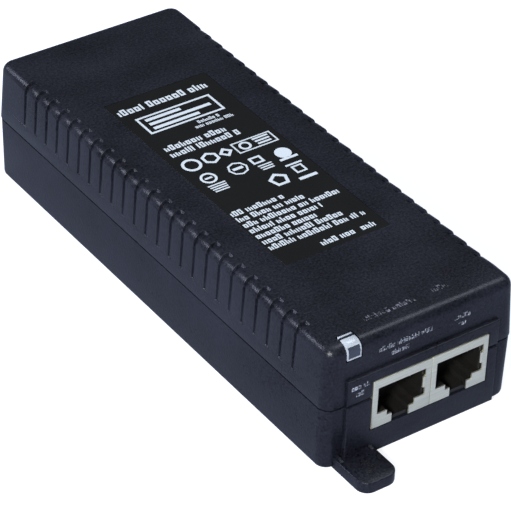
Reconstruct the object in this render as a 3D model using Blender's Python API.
"""PoE injector: a two-part moulded case with two network jacks in its front end, a mains inlet in its back
end, and the power supply board inside. Metres, +Z up, the front end faces -Y, and the origin is the middle
of the footprint, on the surface that the case stands on."""

import math

import bmesh
import bpy
from mathutils import Vector

MM = 0.001

# ---- driving dimensions -------------------------------------------------------------------------------
CASE_WIDTH = 53.0 * MM
CASE_LENGTH = 139.4 * MM
CASE_HEIGHT = 33.0 * MM
PARTING_HEIGHT = 17.1 * MM      # where the two halves of the case meet
WALL = 2.2 * MM
CORNER_RADIUS = 3.1 * MM
TOP_FILLET = 2.4 * MM
BOTTOM_FILLET = 1.3 * MM
UPPER_DRAFT = 0.65 * MM         # how far the cover leans in, from the parting line to the top
LOWER_DRAFT = 0.26 * MM
PARTING_STEP = 0.14 * MM        # the bottom case sits this far inside the cover
GAP = 0.3 * MM                  # clearance between pieces that touch
LIP_HEIGHT = 1.2 * MM           # locating lip of the bottom case

PANEL_SIDE_MARGIN = 5.5 * MM    # from the case's side to the port panel's edge
PANEL_BROW = 2.7 * MM           # above the jacks
PANEL_PROUD = 0.75 * MM

FLUTE_PITCH = 4.92 * MM
FLUTE_DEPTH = 0.55 * MM
FLUTE_BOTTOM = 21.0 * MM
FLUTE_REACH = 3.6 * MM          # from the case's side to the flutes' inner ends
FLUTE_END_MARGIN = 12.6 * MM

LABEL_WIDTH = 29.1 * MM
LABEL_LENGTH = 75.5 * MM
LABEL_THICKNESS = 0.25 * MM
LABEL_X = -0.6 * MM
LABEL_RECESS = 0.6 * MM

EAR_WIDTH = 10.0 * MM
EAR_REACH = 11.2 * MM
EAR_THICKNESS = 3.0 * MM
EAR_LIFT = 0.1 * MM
EAR_CORNER = 3.0 * MM
GUSSET_HEIGHT = 2.0 * MM
GUSSET_LENGTH = 3.6 * MM
GUSSET_WIDTH = 0.9 * MM

JACK_WIDTH = 15.9 * MM
JACK_HEIGHT = 13.3 * MM
JACK_DEPTH = 16.0 * MM
JACK_SPACING = 0.35 * MM        # between the two shields
JACK_PAIR_X = 1.95 * MM
JACK_PROUD = 0.15 * MM          # past the port panel
SHIELD_SHEET = 0.35 * MM
SHIELD_BORDER = 1.35 * MM       # on each side of the port
PORT_TOP = 2.2 * MM             # below the jack's top
PORT_HEIGHT = 7.3 * MM
LATCH_STEP = 1.4 * MM
LATCH_WIDTH = 7.6 * MM
LATCH_SLOT = 4.8 * MM
PORT_INSET = 0.65 * MM          # the insert's port is this much narrower on each side
PLUG_DEPTH = 13.0 * MM
LATCH_DEPTH = 7.0 * MM
LATCH_FLOOR = 1.0 * MM

CONTACTS = 8
CONTACT_PITCH = 1.02 * MM
CONTACT_WIDTH = 0.45 * MM
CONTACT_THICKNESS = 0.3 * MM
CONTACT_BEND = 0.25 * MM        # bend radius at the middle of the wire
CONTACT_START = 2.6 * MM        # behind the jack's face
CONTACT_REACH = 8.2 * MM
CONTACT_DROP = 2.6 * MM
CONTACT_END = 1.0 * MM          # past the bend, under the roof
COMB_FRONT = 1.2 * MM           # the comb's slot starts this far before the bend

LIGHT_WIDTH = 3.9 * MM
LIGHT_SIDE = 5.6 * MM           # from the case's side to the light pipe
LIGHT_FRONT = 3.95 * MM         # down the front face, from the top
LIGHT_LEG = 1.7 * MM
LIGHT_SLACK = 0.1 * MM          # between the leg and the thickest part of the end wall

BOARD_TOP = 7.7 * MM
BOARD_THICKNESS = 1.6 * MM
SHEET_TOP = 5.2 * MM
SHEET_THICKNESS = 0.3 * MM
LEDGE_WIDTH = 1.8 * MM
LEDGE_LENGTH = 10.0 * MM

BOSS_RADIUS = 3.2 * MM
BOSS_SIDE_ROOM = 0.6 * MM
BOSS_JACK_ROOM = 2.4 * MM
BOSS_END_ROOM = 4.0 * MM
BOSS_RISE = 1.6 * MM            # from the board's top to where upper and lower bosses meet
SCREW_SHANK = 1.4 * MM
SCREW_HEAD = 2.5 * MM
SCREW_HEAD_HEIGHT = 1.8 * MM
SCREW_LENGTH = 12.0 * MM
SCREW_END_ROOM = 2.0 * MM
DRIVER_ARM = 1.5 * MM
DRIVER_SLOT = 0.35 * MM         # half the slot's width
HEAD_SINK = 4.4 * MM            # depth of the counterbore in the case's underside

INLET_WIDTH = 27.4 * MM
INLET_HEIGHT = 20.2 * MM
INLET_DEPTH = 21.0 * MM
INLET_CHAMFER = 4.5 * MM
INLET_WALL = 1.6 * MM
INLET_SOCKET = 17.0 * MM
COLLAR = 1.2 * MM
COLLAR_THICKNESS = 1.5 * MM
PIN_WIDTH = 2.0 * MM
PIN_HEIGHT = 4.0 * MM
PIN_SPACING = 14.0 * MM
EARTH_OFFSET = 4.0 * MM
PIN_RECESS = 3.5 * MM           # tips behind the inlet's face
PIN_TAIL = 3.0 * MM

# Lengths along Y of the rows of components, from the jacks to the inlet
ROWS = {
    "network": 9.0 * MM,
    "output": 12.0 * MM,
    "transformer": 18.0 * MM,
    "storage": 17.0 * MM,
    "filter": 12.0 * MM,
}

# Components: width on X, length on Y, height on Z
MAGNETICS_WIDTH = 26.0 * MM
MAGNETICS_HEIGHT = 6.0 * MM
SINK_PLATE = 1.6 * MM
SECONDARY_SINK_HEIGHT = 17.0 * MM
PRIMARY_SINK_HEIGHT = 19.0 * MM
POWER_DEVICE = (4.4 * MM, 10.0 * MM, 15.0 * MM)
CHIP_SIZE = (8.0 * MM, 8.0 * MM, 1.3 * MM)
CHIP_X = 16.0 * MM
OUTPUT_CAPACITOR_RADIUS = 5.0 * MM
OUTPUT_CAPACITOR_HEIGHT = 17.0 * MM
OUTPUT_CAPACITORS_X = (-5.5 * MM, 5.2 * MM)
CORE_SIZE = (26.0 * MM, 13.0 * MM, 19.5 * MM)
CORE_LEG = 3.6 * MM
CORE_MIDDLE_LEG = 7.0 * MM
CORE_LIFT = 1.0 * MM
WINDING_CORNER = 2.0 * MM
BULK_RADIUS = 8.0 * MM
BULK_ENDS_X = (-19.0 * MM, 9.0 * MM)
FUSE_RADIUS = 2.6 * MM
FUSE_LENGTH = 10.0 * MM
FUSE_X = -19.0 * MM
BRIDGE_SIZE = (3.8 * MM, 11.0 * MM, 11.0 * MM)
BRIDGE_X = -12.5 * MM
FILM_SIZE = (13.5 * MM, 7.0 * MM, 12.5 * MM)
FILM_X = -2.5 * MM
CHOKE_RADIUS = 7.0 * MM
CHOKE_HOLE = 3.2 * MM
CHOKE_DEPTH = 9.0 * MM
CHOKE_X = 14.0 * MM
LED_SIZE = (2.4 * MM, 1.4 * MM, 1.0 * MM)

# ---- sizes that follow --------------------------------------------------------------------------------
FRONT = -CASE_LENGTH / 2
BACK = CASE_LENGTH / 2
PANEL_FACE = FRONT - PANEL_PROUD
JACK_FACE = PANEL_FACE - JACK_PROUD
JACK_BACK = JACK_FACE + JACK_DEPTH
PARTS_ON_BOARD = BOARD_TOP + GAP
JACK_BOTTOM = PARTS_ON_BOARD
JACK_TOP = JACK_BOTTOM + JACK_HEIGHT
PANEL_TOP = JACK_TOP + PANEL_BROW
PORT_ROOF = JACK_TOP - PORT_TOP
PORT_BASE = PORT_ROOF - PORT_HEIGHT
JACK_PITCH = JACK_WIDTH + JACK_SPACING
SHIELD_OPENING = JACK_WIDTH - 2 * SHIELD_BORDER
PLUG_WIDTH = SHIELD_OPENING - 2 * PORT_INSET
CONTACT_ROOF = JACK_TOP - SHIELD_SHEET - 2 * GAP - 0.1 * MM
CONTACT_BEND_Y = JACK_FACE + CONTACT_START
CONTACT_BEND_Z = CONTACT_ROOF - GAP - CONTACT_THICKNESS / 2 - CONTACT_BEND
LIGHT_TOP = UPPER_DRAFT + WALL + LIGHT_SLACK + LIGHT_LEG    # back along the top, from the front
LIGHT_LEFT = -CASE_WIDTH / 2 + LIGHT_SIDE
LIGHT_RIGHT = LIGHT_LEFT + LIGHT_WIDTH
LED_TOP = PARTS_ON_BOARD + LED_SIZE[2]
INLET_FRONT = BACK - INLET_DEPTH
INLET_MIDDLE = PARTS_ON_BOARD + COLLAR + INLET_HEIGHT / 2
ROOM_TOP = CASE_HEIGHT - WALL
LOWER_ROOM = CASE_WIDTH / 2 - PARTING_STEP - LOWER_DRAFT - WALL
BOARD_HALF_WIDTH = LOWER_ROOM - GAP
BOARD_HALF_LENGTH = BOARD_HALF_WIDTH + (CASE_LENGTH - CASE_WIDTH) / 2
BOSS_X = LOWER_ROOM - BOSS_RADIUS - BOSS_SIDE_ROOM
BOSS_FRONT_Y = JACK_BACK + BOSS_RADIUS + BOSS_JACK_ROOM
BOSS_BACK_Y = BACK - WALL - BOSS_RADIUS - BOSS_END_ROOM
BOSSES = [(x, y) for y in (BOSS_FRONT_Y, BOSS_BACK_Y) for x in (-BOSS_X, BOSS_X)]
BOSS_SEAM = BOARD_TOP + BOSS_RISE
JACKS = {"out": JACK_PAIR_X - JACK_PITCH / 2, "in": JACK_PAIR_X + JACK_PITCH / 2}
JACK_PAIR_HALF = (JACK_PITCH + JACK_WIDTH) / 2

for old in list(bpy.data.objects):
    bpy.data.objects.remove(old, do_unlink=True)


# ---- materials ----------------------------------------------------------------------------------------
def material(name, colour, roughness, metallic=0.0, alpha=1.0):
    made = bpy.data.materials.new(name)
    made.use_nodes = True
    shader = made.node_tree.nodes["Principled BSDF"]
    shader.inputs["Base Color"].default_value = (*colour, 1.0)
    shader.inputs["Roughness"].default_value = roughness
    shader.inputs["Metallic"].default_value = metallic
    shader.inputs["Alpha"].default_value = alpha
    return made


CASE_PLASTIC = material("case_plastic", (0.028, 0.031, 0.045), 0.6)
LABEL_FILM = material("label_film", (0.015, 0.015, 0.018), 0.35)
CLEAR_PLASTIC = material("clear_plastic", (0.8, 0.82, 0.85), 0.1, alpha=0.4)
TINNED_STEEL = material("tinned_steel", (0.6, 0.63, 0.6), 0.35, 0.9)
SOCKET_PLASTIC = material("socket_plastic", (0.02, 0.02, 0.02), 0.5)
GOLD_PLATE = material("gold_plate", (0.83, 0.63, 0.25), 0.25, 1.0)
PIN_METAL = material("pin_metal", (0.7, 0.68, 0.62), 0.3, 1.0)
BOARD_LAMINATE = material("board_laminate", (0.03, 0.16, 0.07), 0.45)
SCREW_STEEL = material("screw_steel", (0.3, 0.3, 0.32), 0.35, 1.0)
HEAT_SINK_ALLOY = material("heat_sink_alloy", (0.6, 0.61, 0.62), 0.4, 1.0)
MOULDED_EPOXY = material("moulded_epoxy", (0.02, 0.02, 0.022), 0.45)
CAPACITOR_SLEEVE = material("capacitor_sleeve", (0.03, 0.04, 0.07), 0.35)
FILM_CAPACITOR = material("film_capacitor", (0.65, 0.5, 0.08), 0.45)
FERRITE = material("ferrite", (0.05, 0.05, 0.055), 0.6)
WINDING_TAPE = material("winding_tape", (0.72, 0.55, 0.08), 0.4)
FUSE_CERAMIC = material("fuse_ceramic", (0.75, 0.73, 0.68), 0.4)
INSULATOR = material("insulator", (0.78, 0.78, 0.72), 0.5)
LED_RESIN = material("led_resin", (0.85, 0.85, 0.6), 0.3)


# ---- modelling helpers --------------------------------------------------------------------------------
def add(name, shape, at, stuff, smooth=False):
    """A bmesh made an object of its own, with its origin at `at`."""
    bmesh.ops.recalc_face_normals(shape, faces=shape.faces)
    bmesh.ops.translate(shape, verts=shape.verts, vec=-Vector(at))
    mesh = bpy.data.meshes.new(name)
    shape.to_mesh(mesh)
    shape.free()
    if smooth:
        mesh.shade_smooth()
        mesh.set_sharp_from_angle(angle=math.radians(35))
    piece = bpy.data.objects.new(name, mesh)
    piece.location = at
    bpy.context.collection.objects.link(piece)
    if stuff:
        mesh.materials.append(stuff)
    return piece


def middle(low, high):
    return tuple((a + b) / 2 for a, b in zip(low, high))


def box_shape(low, high):
    shape = bmesh.new()
    bmesh.ops.create_cube(shape, size=1.0)
    size = Vector(high) - Vector(low)
    bmesh.ops.scale(shape, verts=shape.verts, vec=size)
    bmesh.ops.translate(shape, verts=shape.verts, vec=middle(low, high))
    return shape


def box(name, low, high, stuff, bevel=0.0):
    shape = box_shape(low, high)
    if bevel:
        bmesh.ops.bevel(shape, geom=shape.edges[:], offset=bevel, segments=1, affect="EDGES")
    return add(name, shape, middle(low, high), stuff)


def loft_shape(loops):
    """Loops with equal numbers of points, joined one to the next, and the first and last capped."""
    shape = bmesh.new()
    rings = [[shape.verts.new(point) for point in loop] for loop in loops]
    count = len(rings[0])
    for low, high in zip(rings, rings[1:]):
        for i in range(count):
            j = (i + 1) % count
            shape.faces.new((low[i], low[j], high[j], high[i]))
    shape.faces.new(rings[0])
    shape.faces.new(rings[-1])
    return shape


def prism_shape(outline, axis, start, end):
    """An outline drawn on the two other axes, in X, Y, Z order, and extruded along `axis`."""
    def point(pair, along):
        values = list(pair)
        values.insert("XYZ".index(axis), along)
        return values

    return loft_shape([[point(pair, along) for pair in outline] for along in (start, end)])


def cylinder_shape(centre, radius, axis, start, end, sides=24):
    circle = [
        (centre[0] + radius * math.cos(2 * math.pi * i / sides),
         centre[1] + radius * math.sin(2 * math.pi * i / sides))
        for i in range(sides)
    ]
    return prism_shape(circle, axis, start, end)


def cylinder(name, centre, radius, axis, start, end, stuff, rim=0.0):
    shape = cylinder_shape(centre, radius, axis, start, end)
    if rim:
        ends = [edge for edge in shape.edges if len({len(f.verts) for f in edge.link_faces}) == 2]
        bmesh.ops.bevel(shape, geom=ends, offset=rim, segments=2, affect="EDGES")
    at = list(centre)
    at.insert("XYZ".index(axis), (start + end) / 2)
    return add(name, shape, at, stuff, smooth=True)


def boolean(piece, shape, operation):
    """Cuts `shape` out of the piece, or joins it to the piece. The shape stays as a hidden guide."""
    guide = add(f"{piece.name}_guide_{len(piece.modifiers)}", shape, (0, 0, 0), None)
    guide.hide_render = True
    guide.display_type = "WIRE"
    step = piece.modifiers.new(operation.lower(), "BOOLEAN")
    step.operation = operation
    step.solver = "EXACT"
    step.object = guide
    return guide


def cut(piece, shape):
    boolean(piece, shape, "DIFFERENCE")


def join(piece, shape):
    boolean(piece, shape, "UNION")


def arc(centre, radius, first, last, steps):
    """Points from angle `first` to `last` in degrees."""
    angles = [math.radians(first + (last - first) * i / steps) for i in range(steps + 1)]
    return [(centre[0] + radius * math.cos(a), centre[1] + radius * math.sin(a)) for a in angles]


def rounded_outline(low, high, radii, steps):
    """A rectangle's outline; radii are those of its corners from (high, high) round to (high, low)."""
    corners = [(high[0], high[1], -1, -1), (low[0], high[1], 1, -1),
               (low[0], low[1], 1, 1), (high[0], low[1], -1, 1)]
    points = []
    for turn, ((x, y, to_x, to_y), radius) in enumerate(zip(corners, radii)):
        if radius:
            points += arc((x + to_x * radius, y + to_y * radius), radius, 90 * turn, 90 * turn + 90, steps)
        else:
            points.append((x, y))
    return points


def case_loop(inset, height):
    """The case's outline at a height, `inset` inside the nominal footprint."""
    radius = max(CORNER_RADIUS - inset, 0.5 * MM)
    x, y = CASE_WIDTH / 2 - inset, CASE_LENGTH / 2 - inset
    return [(*point, height) for point in rounded_outline((-x, -y), (x, y), [radius] * 4, 5)]


# ---- the case's outer form ----------------------------------------------------------------------------
def upper_inset(height):
    return UPPER_DRAFT * (height - PARTING_HEIGHT) / (CASE_HEIGHT - PARTING_HEIGHT)


def lower_inset(height):
    return PARTING_STEP + LOWER_DRAFT * (PARTING_HEIGHT - height) / PARTING_HEIGHT


def top_edge(steps=4):
    """(inset, height) round the cover's top fillet, from the side to the top."""
    start = CASE_HEIGHT - TOP_FILLET
    return [
        (upper_inset(start) + TOP_FILLET * (1 - math.cos(a)), start + TOP_FILLET * math.sin(a))
        for a in (math.radians(90 * i / steps) for i in range(steps + 1))
    ]


def panel_shape(low, high):
    """The block that stands proud of the front end round the jacks."""
    half = CASE_WIDTH / 2 - PANEL_SIDE_MARGIN
    return box_shape((-half, PANEL_FACE, low), (half, FRONT + WALL / 2, high))


def port_cutout(low, high):
    return box_shape(
        (JACK_PAIR_X - JACK_PAIR_HALF - GAP, FRONT - WALL, low),
        (JACK_PAIR_X + JACK_PAIR_HALF + GAP, FRONT + 2 * WALL, high),
    )


def inlet_outline(margin):
    """The mains inlet's outline on X and Z, with its two upper corners cut off."""
    x = INLET_WIDTH / 2 + margin
    low, high = INLET_MIDDLE - INLET_HEIGHT / 2 - margin, INLET_MIDDLE + INLET_HEIGHT / 2 + margin
    bevel = INLET_CHAMFER
    return [(-x, low), (x, low), (x, high - bevel), (x - bevel, high), (bevel - x, high), (-x, high - bevel)]


def collar_slot():
    """Room for the inlet's collar behind the end wall, in both halves of the case."""
    collar_back = BACK - WALL - UPPER_DRAFT - GAP
    return prism_shape(inlet_outline(COLLAR + GAP), "Y", collar_back - COLLAR_THICKNESS - 2 * GAP, collar_back)


# ---- bottom case --------------------------------------------------------------------------------------
def ear_outline():
    """The front left ear's outline on X and Y, reaching back into the case's end wall."""
    left = -CASE_WIDTH / 2 + CORNER_RADIUS
    low, high = (left, FRONT - EAR_REACH), (left + EAR_WIDTH, FRONT + WALL * 0.8)
    return rounded_outline(low, high, [0, 0, EAR_CORNER, EAR_CORNER], 5)


def gusset_outline(root):
    """A gusset's outline on Y and Z, reaching back into the end wall."""
    base, top = EAR_LIFT + EAR_THICKNESS / 2, EAR_LIFT + EAR_THICKNESS + GUSSET_HEIGHT
    return [(root, base), (root, top), (FRONT, top), (FRONT - GUSSET_LENGTH, EAR_LIFT + EAR_THICKNESS),
            (FRONT - GUSSET_LENGTH, base)]


def turned_round(shape):
    """The same shape at the case's opposite corner: half a turn about the Z axis."""
    for vertex in shape.verts:
        vertex.co.x = -vertex.co.x
        vertex.co.y = -vertex.co.y
    return shape


def make_bottom_case():
    rim = PARTING_HEIGHT - GAP / 2
    floor = WALL
    lip_outer = PARTING_STEP + WALL / 2 + GAP / 2
    fillet = [
        (lower_inset(BOTTOM_FILLET) + BOTTOM_FILLET * (1 - math.sin(a)), BOTTOM_FILLET * (1 - math.cos(a)))
        for a in (math.radians(90 * i / 3) for i in range(4))
    ]
    loops = [case_loop(inset, height) for inset, height in fillet]
    loops += [
        case_loop(lower_inset(rim), rim),
        case_loop(lip_outer, rim),
        case_loop(lip_outer, rim + LIP_HEIGHT),
        case_loop(lower_inset(rim) + WALL, rim + LIP_HEIGHT),
        case_loop(lower_inset(floor) + WALL, floor),
    ]
    piece = add("bottom_case", loft_shape(loops), (0, 0, 0), CASE_PLASTIC, smooth=True)

    join(piece, panel_shape(BOTTOM_FILLET * 0.7, rim))
    for place in (lambda shape: shape, turned_round):
        join(piece, place(prism_shape(ear_outline(), "Z", EAR_LIFT, EAR_LIFT + EAR_THICKNESS)))
        left = -CASE_WIDTH / 2 + CORNER_RADIUS
        for x in (left + GUSSET_WIDTH / 2, left + EAR_WIDTH - 1.5 * GUSSET_WIDTH):
            gusset = prism_shape(gusset_outline(FRONT + WALL * 0.7), "X", x, x + GUSSET_WIDTH)
            join(piece, place(gusset))
    ledge_top = BOARD_TOP - BOARD_THICKNESS - GAP
    ledge_y = BOARD_HALF_LENGTH - LEDGE_LENGTH - CORNER_RADIUS
    for side in (-1, 1):
        for y in (-ledge_y, 0, ledge_y):
            inner, outer = side * (LOWER_ROOM - LEDGE_WIDTH), side * (LOWER_ROOM + WALL / 2)
            low_x, high_x = min(inner, outer), max(inner, outer)
            low, high = (low_x, y - LEDGE_LENGTH / 2, floor / 2), (high_x, y + LEDGE_LENGTH / 2, ledge_top)
            join(piece, box_shape(low, high))
    for x, y in BOSSES:
        join(piece, cylinder_shape((x, y), BOSS_RADIUS, "Z", floor / 2, BOSS_SEAM - GAP / 2))
        cut(piece, cylinder_shape((x, y), SCREW_HEAD + GAP, "Z", -WALL, HEAD_SINK, 20))
        cut(piece, cylinder_shape((x, y), SCREW_SHANK + GAP, "Z", -WALL, BOSS_SEAM + WALL, 16))
    cut(piece, port_cutout(JACK_BOTTOM - GAP, PARTING_HEIGHT + WALL))
    cut(piece, prism_shape(inlet_outline(GAP), "Y", BACK - 2 * WALL, BACK + WALL))
    cut(piece, collar_slot())
    return piece


# ---- top cover ----------------------------------------------------------------------------------------
def flute_shape(side):
    """One row of saw-tooth flutes, as the solid that is cut away: each flute is deepest at its back end,
    against a small wall, and runs out to the surface towards the front."""
    count = int((CASE_LENGTH - 2 * FLUTE_END_MARGIN) / FLUTE_PITCH) + 1
    last = FLUTE_PITCH * (count - 1) / 2
    half = CASE_WIDTH / 2
    surface = [(half - upper_inset(z), z, 1.0, 0.0) for z in (FLUTE_BOTTOM, CASE_HEIGHT - TOP_FILLET)]
    edge = top_edge()
    for i, (inset, height) in enumerate(edge[1:], 1):
        turn = math.radians(90 * i / (len(edge) - 1))
        surface.append((half - inset, height, math.cos(turn), math.sin(turn)))
    surface.append((half - FLUTE_REACH, CASE_HEIGHT, 0.0, 1.0))

    def ring(y, depth):
        outer = [(side * (x + WALL * nx), y, z + WALL * nz) for x, z, nx, nz in surface]
        inner = [(side * (x - depth * nx), y, z - depth * nz) for x, z, nx, nz in surface]
        return outer + inner[::-1]

    above, wall = -0.05 * MM, 0.12 * MM
    rings = []
    for i in range(count):
        y = -last + i * FLUTE_PITCH
        rings += [ring(y - FLUTE_PITCH + wall, above), ring(y, FLUTE_DEPTH)]
    rings.append(ring(last + wall, above))
    return loft_shape(rings)


def make_top_cover():
    rim = PARTING_HEIGHT + GAP / 2
    rebate = WALL / 2 - GAP / 2
    loops = [case_loop(inset, height) for inset, height in reversed(top_edge())]
    loops += [
        case_loop(upper_inset(rim), rim),
        case_loop(rebate, rim),
        case_loop(rebate, rim + LIP_HEIGHT + GAP),
        case_loop(upper_inset(rim) + WALL, rim + LIP_HEIGHT + GAP),
        case_loop(upper_inset(ROOM_TOP) + WALL, ROOM_TOP),
    ]
    piece = add("top_cover", loft_shape(loops), (0, 0, 0), CASE_PLASTIC, smooth=True)

    join(piece, panel_shape(rim, PANEL_TOP))
    for x, y in BOSSES:
        join(piece, cylinder_shape((x, y), BOSS_RADIUS, "Z", BOSS_SEAM + GAP / 2, ROOM_TOP + WALL / 2))
        hole_top = HEAD_SINK + SCREW_LENGTH + SCREW_END_ROOM
        cut(piece, cylinder_shape((x, y), SCREW_SHANK + GAP, "Z", BOSS_SEAM - WALL, hole_top, 16))
    cut(piece, port_cutout(PARTING_HEIGHT - WALL, JACK_TOP + GAP))
    cut(piece, prism_shape(inlet_outline(GAP), "Y", BACK - 2 * WALL, BACK + WALL))
    cut(piece, collar_slot())
    for side in (-1, 1):
        cut(piece, flute_shape(side))
    recess_x, recess_y = LABEL_WIDTH / 2 + GAP, LABEL_LENGTH / 2 + GAP
    cut(piece, box_shape((LABEL_X - recess_x, -recess_y, CASE_HEIGHT - LABEL_RECESS),
                         (LABEL_X + recess_x, recess_y, CASE_HEIGHT + WALL)))
    cut(piece, box_shape((LIGHT_LEFT - GAP, FRONT - WALL, CASE_HEIGHT - LIGHT_FRONT - GAP),
                         (LIGHT_RIGHT + GAP, FRONT + LIGHT_TOP + GAP, CASE_HEIGHT + WALL)))
    return piece


def make_light_pipe():
    """A clear strip that follows the cover's front face, fillet and top, with a leg down to the LED."""
    bottom = CASE_HEIGHT - LIGHT_FRONT
    back = FRONT + LIGHT_TOP
    leg_front = back - LIGHT_LEG
    outline = [(FRONT + upper_inset(bottom), bottom)]
    outline += [(FRONT + inset, height) for inset, height in top_edge(5)]
    outline += [(back, CASE_HEIGHT), (back, LED_TOP + GAP)]
    outline += [(leg_front, LED_TOP + GAP), (leg_front, bottom)]
    strip = prism_shape(outline, "X", LIGHT_LEFT, LIGHT_RIGHT)
    return add("light_pipe", strip, (LIGHT_LEFT, back, bottom), CLEAR_PLASTIC)


def make_label():
    low = (LABEL_X - LABEL_WIDTH / 2, -LABEL_LENGTH / 2, CASE_HEIGHT - LABEL_RECESS + GAP)
    high = (LABEL_X + LABEL_WIDTH / 2, LABEL_LENGTH / 2, low[2] + LABEL_THICKNESS)
    return box("rating_label", low, high, LABEL_FILM)


# ---- screws -------------------------------------------------------------------------------------------
def make_screw(number, x, y):
    head_top = HEAD_SINK - GAP
    shape = cylinder_shape((x, y), SCREW_HEAD, "Z", head_top - SCREW_HEAD_HEIGHT, head_top)
    piece = add(f"case_screw_{number}", shape, (x, y, head_top), SCREW_STEEL, smooth=True)
    inside_head = head_top - SCREW_HEAD_HEIGHT / 2
    join(piece, cylinder_shape((x, y), SCREW_SHANK, "Z", inside_head, head_top + SCREW_LENGTH, 16))
    for reach_x, reach_y in ((DRIVER_ARM, DRIVER_SLOT), (DRIVER_SLOT, DRIVER_ARM)):
        cut(piece, box_shape((x - reach_x, y - reach_y, 0), (x + reach_x, y + reach_y, inside_head)))
    return piece


# ---- network jacks ------------------------------------------------------------------------------------
def port_outline(x, side_room):
    """The jack's mouth on X and Z: a wide port for the plug with two steps down for its latch."""
    step = PORT_BASE - LATCH_STEP
    half, latch, slot = side_room / 2, LATCH_WIDTH / 2, LATCH_SLOT / 2
    right = [(slot, JACK_BOTTOM - GAP), (slot, step), (latch, step)]
    right += [(latch, PORT_BASE), (half, PORT_BASE), (half, PORT_ROOF)]
    return [(x + dx, z) for dx, z in right] + [(x - dx, z) for dx, z in reversed(right)]


def make_shield(name, x):
    """A folded steel box, open below, with the port cut out of its front."""
    half = JACK_WIDTH / 2
    low, high = (x - half, JACK_FACE, JACK_BOTTOM), (x + half, JACK_BACK, JACK_TOP)
    piece = box(f"jack_shield_{name}", low, high, TINNED_STEEL)
    inside_low = (low[0] + SHIELD_SHEET, low[1] + SHIELD_SHEET, low[2] - GAP)
    inside_high = (high[0] - SHIELD_SHEET, high[1] - SHIELD_SHEET, high[2] - SHIELD_SHEET)
    cut(piece, box_shape(inside_low, inside_high))
    port = port_outline(x, SHIELD_OPENING)
    cut(piece, prism_shape(port, "Y", JACK_FACE - WALL, JACK_FACE + 2 * SHIELD_SHEET))
    return piece


def make_insert(name, x):
    """The plastic block inside a shield, hollowed for the plug, its latch and the contact springs."""
    half = JACK_WIDTH / 2 - SHIELD_SHEET - GAP
    low = (x - half, JACK_FACE + SHIELD_SHEET + GAP, JACK_BOTTOM)
    high = (x + half, JACK_BACK - SHIELD_SHEET - GAP, JACK_TOP - SHIELD_SHEET - GAP)
    piece = box(f"jack_insert_{name}", low, high, SOCKET_PLASTIC)

    def hollow(width, front, bottom, depth, top):
        cut(piece, box_shape((x - width / 2, front, bottom), (x + width / 2, JACK_FACE + depth, top)))

    outside, above_base = low[1] - WALL, PORT_BASE + GAP
    hollow(PLUG_WIDTH, outside, PORT_BASE, PLUG_DEPTH, PORT_ROOF)
    hollow(LATCH_SLOT, outside, JACK_BOTTOM + LATCH_FLOOR, LATCH_DEPTH, above_base)
    hollow(LATCH_WIDTH, outside, PORT_BASE - LATCH_STEP, LATCH_DEPTH, above_base)
    comb = CONTACT_PITCH * CONTACTS + 2 * GAP
    hollow(comb, CONTACT_BEND_Y - COMB_FRONT, above_base, PLUG_DEPTH, CONTACT_ROOF)
    return piece


def contact_path():
    """The wire's middle line on Y and Z: a short end under the roof, the bend, the arm, and its tip."""
    y, z = CONTACT_BEND_Y, CONTACT_BEND_Z
    tip = (y + CONTACT_REACH, z - CONTACT_DROP)
    lean = math.degrees(math.atan2(CONTACT_DROP, CONTACT_REACH))
    path = [(y + CONTACT_END, z + CONTACT_BEND)]
    path += arc((y, z), CONTACT_BEND, 90, 270 - lean, 4)
    path += [tip, (tip[0] + 3 * CONTACT_THICKNESS, tip[1] + CONTACT_THICKNESS)]
    return path


def ribbon_outline(path, thickness):
    """A path widened to `thickness`."""
    sides = ([], [])
    for i, point in enumerate(path):
        before, after = path[max(i - 1, 0)], path[min(i + 1, len(path) - 1)]
        along = Vector((after[0] - before[0], after[1] - before[1])).normalized()
        across = Vector((-along.y, along.x)) * thickness / 2
        sides[0].append((point[0] + across.x, point[1] + across.y))
        sides[1].append((point[0] - across.x, point[1] - across.y))
    return sides[0] + sides[1][::-1]


def make_contacts(name, x):
    """Eight contact springs under one parent, which stands on the line that they flex about."""
    y, z = CONTACT_BEND_Y, CONTACT_BEND_Z
    pivot = bpy.data.objects.new(f"contact_pivot_{name}", None)
    pivot.location = (x, y, z)
    bpy.context.collection.objects.link(pivot)
    outline = ribbon_outline(contact_path(), CONTACT_THICKNESS)
    for i in range(CONTACTS):
        at = x + (i - (CONTACTS - 1) / 2) * CONTACT_PITCH
        shape = prism_shape(outline, "X", at - CONTACT_WIDTH / 2, at + CONTACT_WIDTH / 2)
        piece = add(f"contact_{name}_{i + 1}", shape, (at, y, z), GOLD_PLATE)
        piece.parent = pivot
        piece.location = (at - x, 0, 0)


# ---- mains inlet --------------------------------------------------------------------------------------
def make_inlet():
    shape = prism_shape(inlet_outline(0), "Y", INLET_FRONT, BACK)
    piece = add("inlet_housing", shape, (0, BACK, INLET_MIDDLE), SOCKET_PLASTIC)
    collar_back = BACK - WALL - UPPER_DRAFT - 2 * GAP
    join(piece, prism_shape(inlet_outline(COLLAR), "Y", collar_back - COLLAR_THICKNESS, collar_back))
    cut(piece, prism_shape(inlet_outline(-INLET_WALL), "Y", BACK - INLET_SOCKET, BACK + WALL))
    for x, z in pin_places().values():
        hole_x, hole_z = PIN_WIDTH / 2 + GAP, PIN_HEIGHT / 2 + GAP
        cut(piece, box_shape((x - hole_x, INLET_FRONT - WALL, z - hole_z), (x + hole_x, BACK, z + hole_z)))
    for name, (x, z) in pin_places().items():
        low = (x - PIN_WIDTH / 2, INLET_FRONT - PIN_TAIL, z - PIN_HEIGHT / 2)
        high = (x + PIN_WIDTH / 2, BACK - PIN_RECESS, z + PIN_HEIGHT / 2)
        box(f"inlet_pin_{name}", low, high, PIN_METAL, bevel=0.3 * MM)


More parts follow.
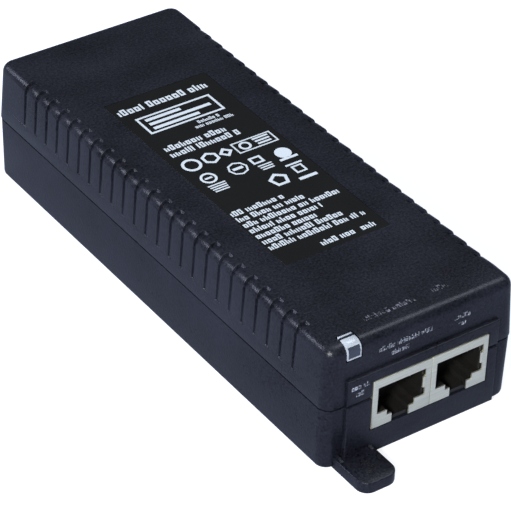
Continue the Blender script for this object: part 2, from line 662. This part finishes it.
def pin_places():
    """(x, z) of the three blades."""
    low, half = INLET_MIDDLE - EARTH_OFFSET / 2, PIN_SPACING / 2
    return {"line": (-half, low), "neutral": (half, low), "earth": (0, low + EARTH_OFFSET)}


# ---- board and components -----------------------------------------------------------------------------
def row_middles():
    """The middle of each row of components, spread evenly between the jacks and the inlet's pins."""
    start, end = JACK_BACK, INLET_FRONT - PIN_TAIL
    space = (end - start - sum(ROWS.values())) / (len(ROWS) + 1)
    middles = {}
    y = start
    for name, length in ROWS.items():
        middles[name] = y + space + length / 2
        y += space + length
    return middles


def make_board():
    half_x, half_y = BOARD_HALF_WIDTH, BOARD_HALF_LENGTH
    low, high = (-half_x, -half_y), (half_x, half_y)
    outline = rounded_outline(low, high, [1.5 * MM] * 4, 3)
    shape = prism_shape(outline, "Z", BOARD_TOP - BOARD_THICKNESS, BOARD_TOP)
    board = add("main_board", shape, (0, 0, BOARD_TOP), BOARD_LAMINATE)
    sheet_x = LOWER_ROOM - LEDGE_WIDTH - GAP
    low, high = (-sheet_x, -half_y + 1 * MM), (sheet_x, half_y - 1 * MM)
    outline = rounded_outline(low, high, [2 * MM] * 4, 3)
    shape = prism_shape(outline, "Z", SHEET_TOP - SHEET_THICKNESS, SHEET_TOP)
    sheet = add("insulating_sheet", shape, (0, 0, SHEET_TOP), INSULATOR)
    for x, y in BOSSES:
        for piece in (board, sheet):
            cut(piece, cylinder_shape((x, y), BOSS_RADIUS + GAP, "Z", 0, BOARD_TOP + WALL))


def upright(name, x, y, size, stuff, bevel=0.3 * MM, lift=0.0):
    """A component of the size given, standing on the board at x, y."""
    low = (x - size[0] / 2, y - size[1] / 2, PARTS_ON_BOARD + lift)
    high = (x + size[0] / 2, y + size[1] / 2, PARTS_ON_BOARD + lift + size[2])
    return box(name, low, high, stuff, bevel=bevel)


def make_sink_pair(sink, device, side, y, length, sink_height):
    """An aluminium plate along one side of the board, with a power device clamped to its inner face."""
    x = side * (BOARD_HALF_WIDTH - BOSS_RADIUS - SINK_PLATE / 2)
    upright(sink, x, y, (SINK_PLATE, length, sink_height), HEAT_SINK_ALLOY, bevel=0.2 * MM)
    x -= side * (SINK_PLATE / 2 + GAP + POWER_DEVICE[0] / 2)
    upright(device, x, y, POWER_DEVICE, MOULDED_EPOXY)


def make_transformer(y):
    """A ferrite frame with two windows, and the winding on its middle leg, whose axis runs along Y."""
    width, depth, height = CORE_SIZE
    centre = PARTS_ON_BOARD + CORE_LIFT + height / 2
    core = upright("transformer_core", 0, y, CORE_SIZE, FERRITE, bevel=0.4 * MM, lift=CORE_LIFT)
    window = (width - 2 * CORE_LEG - CORE_MIDDLE_LEG) / 2
    half_window = height / 2 - CORE_LEG
    for side in (-1, 1):
        x = side * (CORE_MIDDLE_LEG + window) / 2
        cut(core, box_shape((x - window / 2, y - depth, centre - half_window),
                            (x + window / 2, y + depth, centre + half_window)))
    reach = ROWS["transformer"] / 2
    outer_x = CORE_MIDDLE_LEG / 2 + window - GAP
    outline = rounded_outline((-outer_x, y - reach), (outer_x, y + reach), [WINDING_CORNER] * 4, 4)
    coil = prism_shape(outline, "Z", centre - half_window + GAP, centre + half_window - GAP)
    winding = add("transformer_winding", coil, (0, y, centre), WINDING_TAPE, smooth=True)
    hole_x, hole_y = CORE_MIDDLE_LEG / 2 + GAP, depth / 2 + GAP
    cut(winding, box_shape((-hole_x, y - hole_y, 0), (hole_x, y + hole_y, CASE_HEIGHT)))


def make_choke(y):
    """A wound ring that stands on edge across the board."""
    centre = (CHOKE_X, PARTS_ON_BOARD + CHOKE_RADIUS)
    front, back = y - CHOKE_DEPTH / 2, y + CHOKE_DEPTH / 2
    piece = cylinder("filter_choke", centre, CHOKE_RADIUS, "Y", front, back, WINDING_TAPE, rim=1.0 * MM)
    cut(piece, cylinder_shape(centre, CHOKE_HOLE, "Y", front - WALL, back + WALL, 20))


def make_components():
    rows = row_middles()
    magnetics = (MAGNETICS_WIDTH, ROWS["network"], MAGNETICS_HEIGHT)
    upright("lan_magnetics", JACK_PAIR_X, rows["network"], magnetics, MOULDED_EPOXY)

    y, length = rows["output"], ROWS["output"]
    make_sink_pair("secondary_heat_sink", "output_diode", -1, y, length, SECONDARY_SINK_HEIGHT)
    for number, x in enumerate(OUTPUT_CAPACITORS_X, 1):
        cylinder(f"output_capacitor_{number}", (x, y), OUTPUT_CAPACITOR_RADIUS, "Z", PARTS_ON_BOARD,
                 PARTS_ON_BOARD + OUTPUT_CAPACITOR_HEIGHT, CAPACITOR_SLEEVE, rim=0.5 * MM)
    upright("controller_chip", CHIP_X, y, CHIP_SIZE, MOULDED_EPOXY, bevel=0.15 * MM)

    make_transformer(rows["transformer"])

    y, length = rows["storage"], ROWS["storage"]
    lying = (y, PARTS_ON_BOARD + BULK_RADIUS)
    cylinder("bulk_capacitor", lying, BULK_RADIUS, "X", *BULK_ENDS_X, CAPACITOR_SLEEVE, rim=0.8 * MM)
    make_sink_pair("primary_heat_sink", "switching_transistor", 1, y, length, PRIMARY_SINK_HEIGHT)

    y = rows["filter"]
    lying = (FUSE_X, PARTS_ON_BOARD + FUSE_RADIUS)
    front, back = y - FUSE_LENGTH / 2, y + FUSE_LENGTH / 2
    cylinder("fuse", lying, FUSE_RADIUS, "Y", front, back, FUSE_CERAMIC, rim=0.4 * MM)
    upright("bridge_rectifier", BRIDGE_X, y, BRIDGE_SIZE, MOULDED_EPOXY)
    upright("filter_capacitor", FILM_X, y, FILM_SIZE, FILM_CAPACITOR)
    make_choke(y)

    led_x, led_y = (LIGHT_LEFT + LIGHT_RIGHT) / 2, FRONT + LIGHT_TOP - LIGHT_LEG / 2
    upright("status_led", led_x, led_y, LED_SIZE, LED_RESIN, bevel=0.1 * MM)


make_bottom_case()
make_top_cover()
make_label()
make_light_pipe()
for index, (boss_x, boss_y) in enumerate(BOSSES, 1):
    make_screw(index, boss_x, boss_y)
make_board()
for jack, jack_x in JACKS.items():
    make_shield(jack, jack_x)
    make_insert(jack, jack_x)
    make_contacts(jack, jack_x)
make_inlet()
make_components()
